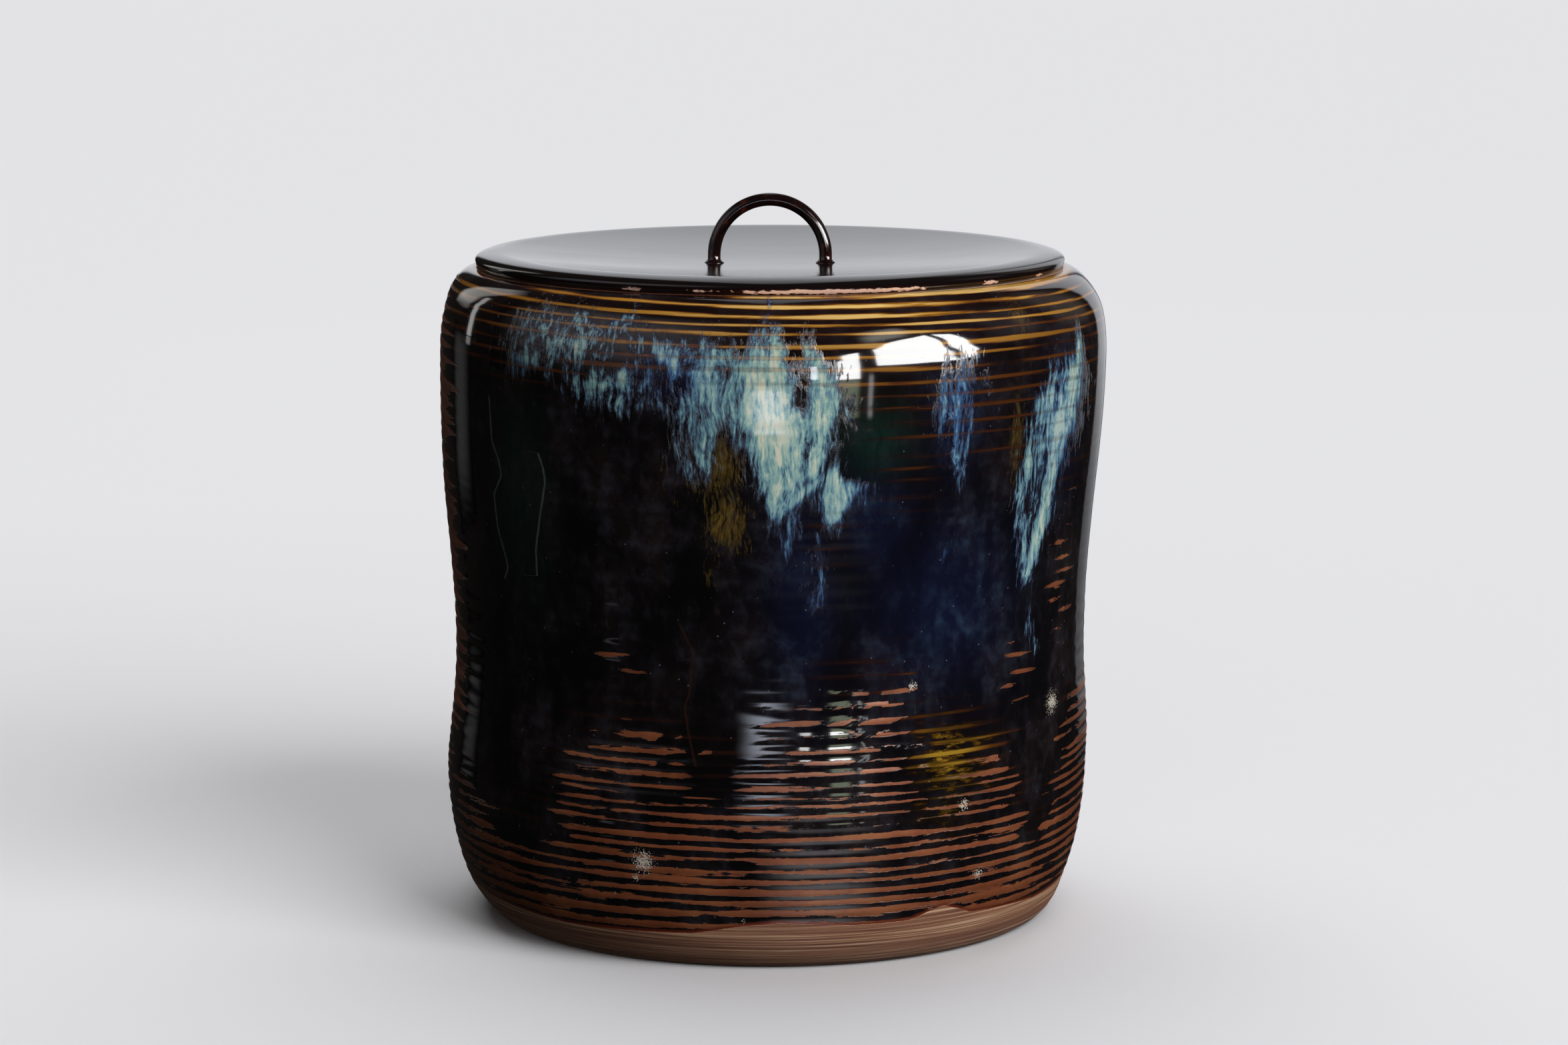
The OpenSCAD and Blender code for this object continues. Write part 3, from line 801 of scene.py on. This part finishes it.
with_thread = add_node(tree, "ShaderNodeMix", {"Factor": thread_share, 6: with_brown, 7: thread_colour},
                       data_type="RGBA").outputs[2]
print("glaze nodes so far:", len(tree.nodes))

# %% Bare foot, chips and gloss
# Roughness of thick glaze, of drained rings, and of bare clay and chips
GLASSY = 0.06
SATIN = 0.3
DRY = 0.8
clay_colour = add_node(tree, "ShaderNodeValToRGB", {"Fac": grain["turning"]}, stops=(
    (0.34, "#5a3423"), (0.48, "#86583d"), (0.57, "#a67a5b"), (0.67, "#cfac8a"))).outputs["Color"]
bare_edge = add_node(tree, "ShaderNodeMath", {0: grain["curd"], 1: 0.6, 2: field["bare"]},
                     operation="MULTIPLY_ADD").outputs[0]
flash = add_node(tree, "ShaderNodeMapRange", {
    "Value": bare_edge, "From Min": -1.2, "From Max": -0.2}).outputs[0]
with_flash = add_node(tree, "ShaderNodeMix", {"Factor": flash, 6: with_thread, 7: linear("#6d2f1b")},
                      data_type="RGBA").outputs[2]
bare = add_node(tree, "ShaderNodeMapRange", {
    "Value": bare_edge, "From Min": 0.1, "From Max": 0.5}).outputs[0]
with_foot = add_node(tree, "ShaderNodeMix", {"Factor": bare, 6: with_flash, 7: clay_colour},
                     data_type="RGBA").outputs[2]

knocked = add_node(tree, "ShaderNodeMath", {0: grain["speck"], 1: 3.0, 2: field["chip"]},
                   operation="MULTIPLY_ADD").outputs[0]
chip = add_node(tree, "ShaderNodeMapRange", {"Value": knocked, "From Min": 1.95, "From Max": 2.25,
                                             "To Max": 0.9}).outputs[0]
skin = add_node(tree, "ShaderNodeMix", {"Factor": chip, 6: with_foot, 7: linear("#cdc3b4")},
                data_type="RGBA").outputs[2]
tree.links.new(skin, shader.inputs["Base Color"])

satin = add_node(tree, "ShaderNodeMapRange", {"Value": brown, "To Min": GLASSY, "To Max": SATIN}).outputs[0]
dry = add_node(tree, "ShaderNodeMath", {0: bare, 1: chip}, operation="MAXIMUM").outputs[0]
rough = add_node(tree, "ShaderNodeMix", {"Factor": dry, 2: satin, 3: DRY}).outputs[0]
tree.links.new(rough, shader.inputs["Roughness"])

# Relief in mm: a run stands up, a drained ring lies lower, and the comb and the turning leave ridges
RUN_RISE = 0.05
DRAINED_DROP = -0.05
COMB_RISE = 0.03
TURNING_RISE = 0.25
run_mm = add_node(tree, "ShaderNodeMath", {0: pale_share, 1: RUN_RISE}, operation="MULTIPLY").outputs[0]
dent_mm = add_node(tree, "ShaderNodeMath", {0: brown, 1: DRAINED_DROP, 2: run_mm},
                   operation="MULTIPLY_ADD").outputs[0]
ridge = add_node(tree, "ShaderNodeMath", {0: crest, 1: field["drain"]}, operation="MULTIPLY").outputs[0]
combed_mm = add_node(tree, "ShaderNodeMath", {0: ridge, 1: COMB_RISE, 2: dent_mm},
                     operation="MULTIPLY_ADD").outputs[0]
tooled = add_node(tree, "ShaderNodeMath", {0: grain["turning"], 1: bare}, operation="MULTIPLY").outputs[0]
relief = add_node(tree, "ShaderNodeMath", {0: tooled, 1: TURNING_RISE, 2: combed_mm},
                  operation="MULTIPLY_ADD").outputs[0]
bump = add_node(tree, "ShaderNodeBump", {"Height": relief, "Strength": 1.0, "Distance": MM}).outputs[0]
tree.links.new(bump, shader.inputs["Normal"])
print("glaze nodes:", len(tree.nodes))

# %% Jar piece
jar = add_piece("jar", jar_bm, glaze, "jar", "jar_body")
strong_card_takers.objects.link(jar)

# %% Rings and drained glaze on the jar's vertices
# How far the rings tilt in mm at the shoulder, and how far they wander, as shares of a ring
RING_TILT = 1.5
SLOW_WANDER = 0.25
QUICK_WANDER = 0.35
# How far the edges of the glaze fray, to the side in degrees and up or down in mm
FRAY_ACROSS = 8
FRAY_UP = 3
# How far the rings are drained: all over, more near the foot, less in the gold, and by patches
DRAINED = 0.52
DRAINED_LOW = 0.18
DRAINED_GOLD = -0.16
DRAINED_POOL = 0.2
DASH_SHARE = 0.55
SCRAPED_SHARE = 2
GOLD_GAIN = 1.5
# Where a field is under the faint share it is lowered, so that noise alone can't bring it out
FAINT = 0.3
DRAIN_AWAY = 0.4
PALE_AWAY = 0.3

points, azimuth, radius = surface_points(jar)
height = points[:, 2]
is_outside = (radius > wall_radius(height) - WALL_T / 2) & (height > 0.01) & (height < RIM_Z)

tilt = RING_TILT * np.sin(np.radians(azimuth)) * rise(height, 90, 50)
ring = read_line(RING_COUNT, height + tilt) + SLOW_WANDER * wander(points, 60, 60, 26)
ring = ring + QUICK_WANDER * wander(points, 400, 400, 6)
frayed = wrapped(azimuth + FRAY_ACROSS * wander(points, 500, 500, 3.2))
drip_floor = read_line(DRAIN_LINE, frayed) + FRAY_UP * wander(points, 6, 6, 30)
bared = fall(height, drip_floor + 4, 9)
for at, lowest, half in BLACK_DRIPS:
    bared = bared * (1 - bell(wrapped(frayed - at), half, 4) * rise(height, lowest - 4, 8))
gold = np.clip(GOLD_GAIN * patch_share((GOLD_PATCH,), frayed, height), 0, 1)
pooled = wander(points, 16, 16, 5)
drain = bared * (DRAINED + DRAINED_LOW * fall(height, 46, 26) + DRAINED_GOLD * gold + DRAINED_POOL * pooled)
drain = np.maximum(drain, DASH_SHARE * patch_share(DASH_PATCHES, frayed, height))
drain = np.maximum(drain, SCRAPED_SHARE * patch_share(SCRAPED_PATCHES, frayed, height))
drain = drain - DRAIN_AWAY * (1 - ease(drain / FAINT))
print("share of vertices with drained rings:", round(float(np.mean(is_outside & (drain > 0))), 2))

# %% Amber and pale glaze on the jar's vertices
# Where the shoulder's amber is strongest, as (azimuth, half width in degrees, share), and elsewhere
AMBER_FACING = ((18, 40, 0.35), (170, 50, 0.25))
AMBER_LEAST = 0.65
RUST_SHARE = 0.4
GOLD_AMBER = 0.45
VEIL_SHARE = 0.3
# Amber along the edge of the drained glaze: all round, and more of it at the front right
EDGE_AMBER = 0.25
EDGE_AMBER_FRONT = 0.2
# How much less the faint pale glaze is lowered in the navy
NAVY_KEEPS = 0.4

facing = AMBER_LEAST + sum(share * bell(wrapped(azimuth - at), half) for at, half, share in AMBER_FACING)
edge_amber = EDGE_AMBER + EDGE_AMBER_FRONT * bell(wrapped(azimuth - 30), 22)
near_line = bell(height - drip_floor - 2, 8) * edge_amber
amber_floor = read_line(AMBER_LINE, azimuth)
shoulder_amber = rise(height, amber_floor - 8, 16) * read_line(AMBER_CLIMB, height) * facing
shoulder_amber = np.maximum(shoulder_amber, RUST_SHARE * patch_share(RUST_PATCHES, azimuth, height))
amber = np.clip(np.maximum(shoulder_amber, near_line) + GOLD_AMBER * gold, 0, 1)

pale_runs = [run_share(run, azimuth, height) for run in FRONT_RUNS]
pale_runs += [run_share(FRONT_RUNS[i], azimuth, height, shift) for i, shift in BACK_RUNS]
veil = patch_share(VEIL_PATCHES, azimuth, height)
pale_amount = np.maximum(np.max(pale_runs, axis=0), VEIL_SHARE * veil)
navy_amount = patch_share(NAVY_PATCHES, azimuth, height)
pale_amount = pale_amount - PALE_AWAY * (1 - ease(pale_amount / FAINT)) * (1 - NAVY_KEEPS * navy_amount)
print("share of vertices with pale glaze:", round(float(np.mean(is_outside & (pale_amount > 0))), 2))

# %% Keep the fields as attributes
BARE_EDGE = 0.8
BARE_LIMIT = 4.0
WIPED_BASE = 2.5
WIPED_RIM = 0.6
LIP_SLACK = 0.2
thread_across, thread_near = thread_offset(azimuth, height, radius)
bare_amount = np.clip((read_line(FOOT_LINE, azimuth) - height) / BARE_EDGE, -BARE_LIMIT, BARE_LIMIT)
# Each field with the value that it has away from the outside
outside_only = {
    "drain": (drain, -DRAIN_AWAY),
    "amber": (amber, 0.1),
    "pale": (pale_amount, -1.0),
    "gold": (gold, 0.0),
    "navy": (navy_amount, 0.0),
    "green": (patch_share(GREEN_PATCHES, azimuth, height), 0.0),
    "olive": (patch_share(OLIVE_PATCHES, azimuth, height), 0.0),
    "veil": (veil, 0.0),
    "bare": (bare_amount, -BARE_LIMIT),
    "thread": (thread_across, 9.0),
    "threaded": (thread_near, 0.0),
    "chip": (chip_share(azimuth, height, radius), -1.0),
}
layers = {name: np.where(is_outside, value, away) for name, (value, away) in outside_only.items()}
# The base and the flat of the rim are wiped clean of glaze, so that neither sticks in the kiln
is_wiped = (height < WIPED_BASE) | ((height > RIM_Z - WIPED_RIM) & (radius < LIP_R + LIP_SLACK))
layers["bare"] = np.where(is_wiped, BARE_LIMIT, layers["bare"])
layers["ring"] = ring
for name, values in layers.items():
    add_layer(jar, name, values)
print("fields kept:", len(layers))

# %% Relief of the jar's wall
# Depths of the comb in mm: all over, more low down, more where the glaze has drained. Then a run's
COMB_ALL = 0.01
COMB_LOW = 0.03
COMB_DRAINED = 0.13
RUN_THICK = 0.06
# A hand-thrown wall leans to one side, sways slowly and is choppy, most of all low down, in mm
LEAN = 0.9
SWAY = 0.4
CHOP_WIDE = 0.03
CHOP_FINE = 0.08

crest_now = 0.5 + 0.5 * np.cos(2 * np.pi * ring)
combed = rise(height, 6, 6) * fall(height, RIM_Z - 0.5, 3)
comb_mm = COMB_ALL + COMB_LOW * fall(height, 100, 25) + COMB_DRAINED * np.clip(drain, 0, 1)
relief_mm = combed * comb_mm * (crest_now - 1) + RUN_THICK * np.clip(pale_amount, 0, 1)
lean = LEAN * np.sin(np.radians(azimuth)) * (rise(height, 110, 45) - fall(height, 60, 25))
lean = lean * fall(height, RIM_Z, 12) * rise(height, 0, 12)
sway = SWAY * wander(points, 60, 60, 45) * fall(height, RIM_Z, 12) * rise(height, 0, 10)
fine_chop = CHOP_FINE * wander(points, 13, 13, 2.4) * fall(height, 106, 24)
choppy = CHOP_WIDE * wander(points, 18, 18, 9) + fine_chop
choppy = choppy * fall(height, RIM_Z, 8) * rise(height, 12, 8)
growth = np.where(is_outside, relief_mm + lean + sway + choppy, 0)
points[:, :2] *= (1 + growth / np.maximum(radius, 1))[:, None]
jar.data.vertices.foreach_set("co", (points * MM).ravel())
jar.data.update()
print("wall moved from", round(growth.min(), 2), "to", round(growth.max(), 2), "mm")

# %% [markdown]
# ## The lid
# The lid is turned from one board: scooped on top, with a rolled edge and a flat seat below. Many
# coats of lacquer, polished, make it a dark mirror. The lower edge has lost its lacquer in places.

# %% Lacquer material
# Lacquer rubbed flat and polished gives the eye a near-black face with a clear, slightly soft mirror
POLISH_FINE = 0.08
POLISH_DULL = 0.15
CHIP_ROUGH = 0.6
lacquer, tree, shader = new_material("polished_black_brown_lacquer_on_wood", {"IOR": COAT_IOR})
place = add_node(tree, "ShaderNodeTexCoord").outputs["Object"]
worn = add_node(tree, "ShaderNodeAttribute", attribute_name="worn").outputs["Fac"]
mapped = add_node(tree, "ShaderNodeMapping", {"Vector": place, "Scale": per_metre(2, 2, 0.7)}).outputs[0]
flake = add_node(tree, "ShaderNodeTexNoise", {"Vector": mapped, "Scale": 1.0, "Detail": 3.0}).outputs["Fac"]
chipped = add_node(tree, "ShaderNodeMath", {0: flake, 1: 1.4, 2: worn}, operation="MULTIPLY_ADD").outputs[0]
chip = add_node(tree, "ShaderNodeMapRange", {
    "Value": chipped, "From Min": 1.25, "From Max": 1.42}).outputs[0]
coat = add_node(tree, "ShaderNodeMix", {"Factor": worn, 6: linear("#120d0d"), 7: linear("#2c0f0d")},
                data_type="RGBA").outputs[2]
face = add_node(tree, "ShaderNodeMix", {"Factor": chip, 6: coat, 7: linear("#ffd6c0")},
                data_type="RGBA").outputs[2]
tree.links.new(face, shader.inputs["Base Color"])
mapped = add_node(tree, "ShaderNodeMapping", {"Vector": place, "Scale": per_metre(40, 14, 40)}).outputs[0]
haze = add_node(tree, "ShaderNodeTexNoise", {"Vector": mapped, "Scale": 1.0, "Detail": 3.0}).outputs["Fac"]
polish = add_node(tree, "ShaderNodeMapRange", {
    "Value": haze, "From Min": 0.3, "From Max": 0.7, "To Min": POLISH_FINE, "To Max": POLISH_DULL}).outputs[0]
gloss = add_node(tree, "ShaderNodeMix", {"Factor": chip, 2: polish, 3: CHIP_ROUGH}).outputs[0]
tree.links.new(gloss, shader.inputs["Roughness"])
print("lacquer nodes:", len(tree.nodes))

# %% Lid piece
lid_low, lid_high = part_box("lid_plate")
ring_low, ring_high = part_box("lid_locating_ring")
LID_R = lid_high.x / MM
CREST_Z = lid_high.z / MM
SEAT_Z = ring_high.z / MM
UNDER_Z = lid_low.z / MM
RING_R = ring_high.x / MM
RING_LOW_Z = ring_low.z / MM
RING_T = 3.0
SCOOP = 3.8
EDGE_ROLL = 7.0
EDGE_TUCK = 1.3
CREST_R = LID_R - EDGE_ROLL
NOSE_Z = (SEAT_Z + CREST_Z) / 2
LID_STEPS = 256
SCOOP_ROWS = 40
EDGE_ROWS = 9
UNDER_ROWS = 16

scoop_r = np.linspace(0, CREST_R, SCOOP_ROWS)
lid_top = [(r, CREST_Z - SCOOP * (1 - (r / CREST_R) ** 2)) for r in scoop_r]
edge_turn = np.linspace(0, np.pi / 2, EDGE_ROWS)[1:]
lid_roll = [(CREST_R + EDGE_ROLL * math.sin(t), NOSE_Z + (CREST_Z - NOSE_Z) * math.cos(t)) for t in edge_turn]
lid_tuck = [(LID_R - EDGE_TUCK * (1 - math.cos(t)), NOSE_Z - (NOSE_Z - SEAT_Z) * math.sin(t))
            for t in edge_turn]
under_r = np.linspace(RING_R - RING_T, 0, UNDER_ROWS)
lid_under = [(r, SEAT_Z - (SEAT_Z - UNDER_Z) * (1 - (r / (RING_R - RING_T)) ** 2)) for r in under_r]
lid = add_piece("lid", spin_outline(lid_top + lid_roll + lid_tuck + lid_under, LID_STEPS), lacquer,
                "lid", "lid_plate")

# Where the lower edge has lost lacquer: azimuth, half width in degrees, how much
EDGE_WEAR = ((12, 21, 1.0), (-26, 2.5, 0.8), (46, 3, 0.85), (63, 3, 0.7), (-12, 3, 0.7), (150, 12, 0.7),
             (-110, 8, 0.6))
WEAR_UP = 0.9
WEAR_HALF = 0.75
WEAR_LEAST = 0.2
points, azimuth, radius = surface_points(lid)
low_edge = bell(points[:, 2] - SEAT_Z - WEAR_UP, WEAR_HALF) * (radius > RING_R)
around = np.max([much * bell(wrapped(azimuth - at), half, 4) for at, half, much in EDGE_WEAR], axis=0)
add_layer(lid, "worn", low_edge * np.maximum(around, WEAR_LEAST))
print("lid radius", round(LID_R, 2), "mm, crest at", round(CREST_Z, 2), "mm")

# %% Locating ring piece
RING_ROUND = 0.8
RING_INNER_R = RING_R - RING_T
CORNER_ROWS = 5
corner = np.linspace(0, np.pi / 2, CORNER_ROWS)
inner_corner = [(RING_INNER_R + RING_ROUND * (1 - math.cos(t)), RING_LOW_Z + RING_ROUND * (1 - math.sin(t)))
                for t in corner]
outer_corner = [(RING_R - RING_ROUND * (1 - math.sin(t)), RING_LOW_Z + RING_ROUND * (1 - math.cos(t)))
                for t in corner]
hoop_outline = [(RING_R, SEAT_Z), (RING_INNER_R, SEAT_Z)] + inner_corner + outer_corner
add_piece("lid_ring", spin_outline(hoop_outline, LID_STEPS, closed=True), lacquer,
          "lid", "lid_locating_ring")

# %% [markdown]
# ## The loop handle
# The handle is a thin rod bent to a half circle on two short legs. One circle of vertices is drawn at
# the foot of a leg, extruded up the leg, spun half a turn and extruded down the other leg.

# %% Handle lacquer material
# Brushed lacquer worn by fingers gives the eye a glossy dark rod with red-brown where it is thin
handle_coat, tree, shader = new_material("rubbed_red_brown_lacquer_on_bent_rod", {
    "IOR": COAT_IOR, "Roughness": 0.1})
place = add_node(tree, "ShaderNodeTexCoord").outputs["Object"]
mapped = add_node(tree, "ShaderNodeMapping", {"Vector": place, "Scale": per_metre(4, 1.5, 4)}).outputs[0]
rub = add_node(tree, "ShaderNodeTexNoise", {"Vector": mapped, "Scale": 1.0, "Detail": 4.0}).outputs["Fac"]
rod_colour = add_node(tree, "ShaderNodeValToRGB", {"Fac": rub}, stops=(
    (0.4, "#120a0b"), (0.58, "#220f0d"), (0.7, "#562214"), (0.8, "#8a4a2c"))).outputs["Color"]
tree.links.new(rod_colour, shader.inputs["Base Color"])
print("handle lacquer nodes:", len(tree.nodes))

# %% Handle piece
_, rod_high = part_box("lid_handle")
LEG_X = 15.0
LEG_H = 2.25
ROD_R = 1.75
NECK_R = 2.05
FLARE_R = rod_high.x / MM - LEG_X
ARCH_Z = rod_high.z / MM - LEG_X - ROD_R
FOOT_Z = ARCH_Z - LEG_H
# Rings of vertices up a leg, as (height, radius): the flared foot, its neck and the plain rod
LEG_RINGS = ((FOOT_Z - 0.15, FLARE_R), (FOOT_Z + 0.25, FLARE_R), (FOOT_Z + 0.7, NECK_R),
             (FOOT_Z + 1.2, ROD_R), (ARCH_Z, ROD_R))
ROD_SIDES = 24
ARCH_STEPS = 48


def climb_leg(bm, loop_edges, rings):
    """Extrudes a loop of edges through rings of (height, radius) and returns the last loop."""
    for z, r in rings:
        grown = bmesh.ops.extrude_edge_only(bm, edges=loop_edges)["geom"]
        verts = [v for v in grown if isinstance(v, bmesh.types.BMVert)]
        loop_edges = [e for e in grown if isinstance(e, bmesh.types.BMEdge)]
        centre = sum((v.co for v in verts), Vector()) / len(verts)
        for v in verts:
            out = (v.co - centre).normalized() * r * MM
            v.co = Vector((centre.x + out.x, centre.y + out.y, z * MM))
    return loop_edges


bm = bmesh.new()
bmesh.ops.create_circle(bm, cap_ends=False, radius=FLARE_R * MM, segments=ROD_SIDES)
bmesh.ops.translate(bm, verts=bm.verts, vec=(LEG_X * MM, 0, LEG_RINGS[0][0] * MM))
loop = climb_leg(bm, list(bm.edges), LEG_RINGS[1:])
loop_verts = list(dict.fromkeys(v for e in loop for v in e.verts))
arch = bmesh.ops.spin(bm, geom=loop_verts + loop, cent=(0, 0, ARCH_Z * MM), axis=(0, -1, 0),
                      angle=math.pi, steps=ARCH_STEPS)
loop = [e for e in arch["geom_last"] if isinstance(e, bmesh.types.BMEdge)]
climb_leg(bm, loop, LEG_RINGS[-2::-1])
bmesh.ops.remove_doubles(bm, verts=bm.verts, dist=MERGE_MM * MM)
bmesh.ops.holes_fill(bm, edges=bm.edges, sides=ROD_SIDES)
bmesh.ops.recalc_face_normals(bm, faces=bm.faces)
handle = add_piece("lid_handle_loop", bm, handle_coat, "lid", "lid_handle")
strong_card_takers.objects.link(handle)
